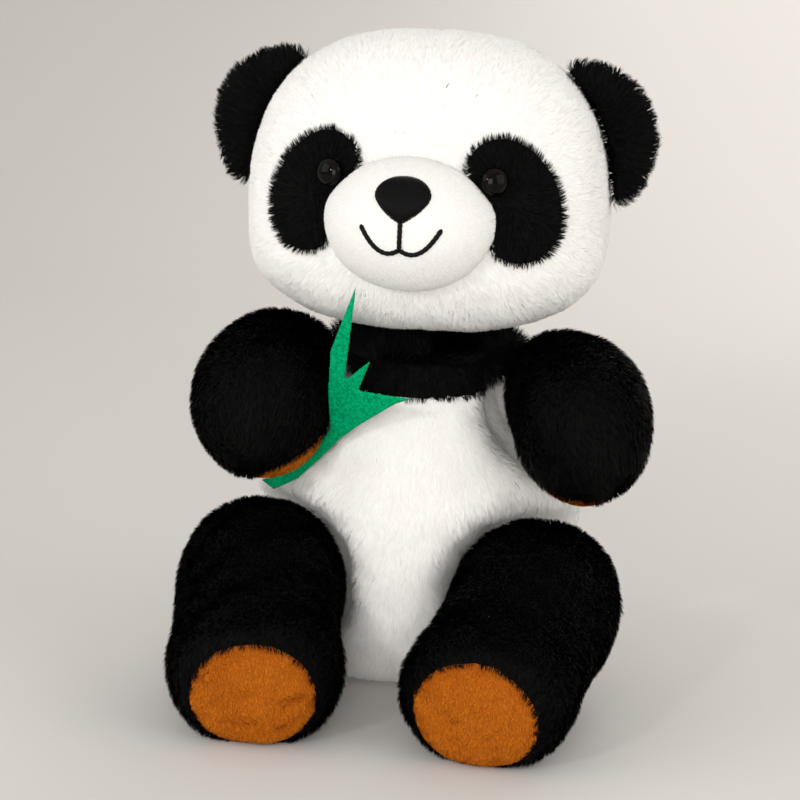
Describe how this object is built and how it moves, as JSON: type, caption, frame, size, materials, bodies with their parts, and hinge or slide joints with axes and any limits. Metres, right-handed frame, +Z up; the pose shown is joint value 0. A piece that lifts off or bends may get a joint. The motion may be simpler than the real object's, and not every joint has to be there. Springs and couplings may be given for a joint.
{
  "type": "plush panda",
  "caption": "Seated soft panda toy in black and white pile fabric, with a turning head, sewn-on limbs and ears, brown soles and a green felt leaf in one paw.",
  "frame": {"origin": "middle of the flat seat underneath, on the surface that the panda sits on", "axes": "+Z up, -Y the way the panda faces, +X towards the panda's own left side"},
  "size_m": [0.2405, 0.2603, 0.345],
  "materials": {
    "white_pile": "long soft polyester pile, combed down",
    "black_pile": "long soft polyester pile, slightly glossy",
    "wadding": "loose polyester fibre filling",
    "white_thread": "polyester sewing thread",
    "white_velour": "very short smooth pile",
    "black_thread": "satin embroidery thread",
    "eye_plastic": "black pupil in a dark brown iris, polished",
    "washer_plastic": "natural moulded",
    "brown_velour": "short crushed pile",
    "green_felt": "pressed felt with cut edges",
    "green_thread": "polyester sewing thread"
  },
  "bodies": {
    "torso": {"belly_panel_right": "white_pile", "belly_panel_left": "white_pile", "back_panel_right": "white_pile", "back_panel_left": "white_pile", "chest_band": "black_pile", "shoulder_band": "black_pile", "seat_panel": "white_pile", "tail": "white_pile", "torso_stuffing": "wadding", "closing_thread": "white_thread"},
    "neck": {"neck_stuffing": "wadding"},
    "head": {"face_panel_right": "white_pile", "face_panel_left": "white_pile", "head_back_right": "white_pile", "head_back_left": "white_pile", "snout_skin": "white_velour", "snout_stuffing": "wadding", "nose": "black_thread", "mouth_thread": "black_thread", "eye_patch_right": "black_pile", "eye_patch_left": "black_pile", "eye_right": "eye_plastic", "eye_left": "eye_plastic", "eye_washer_right": "washer_plastic", "eye_washer_left": "washer_plastic", "head_stuffing": "wadding"},
    "ear_right": {"ear_front_right": "black_pile", "ear_back_right": "black_pile"},
    "ear_left": {"ear_front_left": "black_pile", "ear_back_left": "black_pile"},
    "arm_right": {"arm_outer_right": "black_pile", "arm_inner_right": "black_pile", "palm_pad_right": "brown_velour", "arm_stuffing_right": "wadding"},
    "arm_left": {"arm_outer_left": "black_pile", "arm_inner_left": "black_pile", "palm_pad_left": "brown_velour", "arm_stuffing_left": "wadding"},
    "leg_right": {"leg_outer_right": "black_pile", "leg_inner_right": "black_pile", "sole_right": "brown_velour", "leg_stuffing_right": "wadding"},
    "leg_left": {"leg_outer_left": "black_pile", "leg_inner_left": "black_pile", "sole_left": "brown_velour", "leg_stuffing_left": "wadding"},
    "leaf": {"bamboo_leaf": "green_felt", "leaf_thread": "green_thread"}
  },
  "joints": [
    {"name": "neck_turn", "type": "hinge", "parent": "torso", "child": "neck", "pos_m": [0, -0.005, 0.187], "axis": [0, 0, 1], "range_deg": [-35, 35]},
    {"name": "head_nod", "type": "hinge", "parent": "neck", "child": "head", "pos_m": [0, -0.005, 0.187], "axis": [1, 0, 0], "range_deg": [-10, 4]},
    {"name": "ear_flop_right", "type": "hinge", "parent": "head", "child": "ear_right", "pos_m": [-0.076, -0.01, 0.3014], "axis": [0.4814, 0, 0.8765], "range_deg": [-20, 20]},
    {"name": "ear_flop_left", "type": "hinge", "parent": "head", "child": "ear_left", "pos_m": [0.076, -0.01, 0.3014], "axis": [-0.4814, 0, 0.8765], "range_deg": [-20, 20]},
    {"name": "arm_lift_right", "type": "hinge", "parent": "torso", "child": "arm_right", "pos_m": [-0.054, -0.014, 0.156], "axis": [-0.2507, 0.1003, -0.9628], "range_deg": [0, 50]},
    {"name": "arm_lift_left", "type": "hinge", "parent": "torso", "child": "arm_left", "pos_m": [0.054, -0.014, 0.156], "axis": [-0.2507, -0.1003, 0.9628], "range_deg": [0, 50]},
    {"name": "leg_spread_right", "type": "hinge", "parent": "torso", "child": "leg_right", "pos_m": [-0.068, -0.024, 0.056], "axis": [-0.2, 0, -0.9798], "range_deg": [0, 35]},
    {"name": "leg_spread_left", "type": "hinge", "parent": "torso", "child": "leg_left", "pos_m": [0.068, -0.024, 0.056], "axis": [-0.2, 0, 0.9798], "range_deg": [0, 35]},
    {"name": "leaf_flap", "type": "hinge", "parent": "arm_right", "child": "leaf", "pos_m": [-0.077, -0.0466, 0.1048], "axis": [-0.3764, 0.3845, -0.8429], "range_deg": [0, 10]}
  ]
}
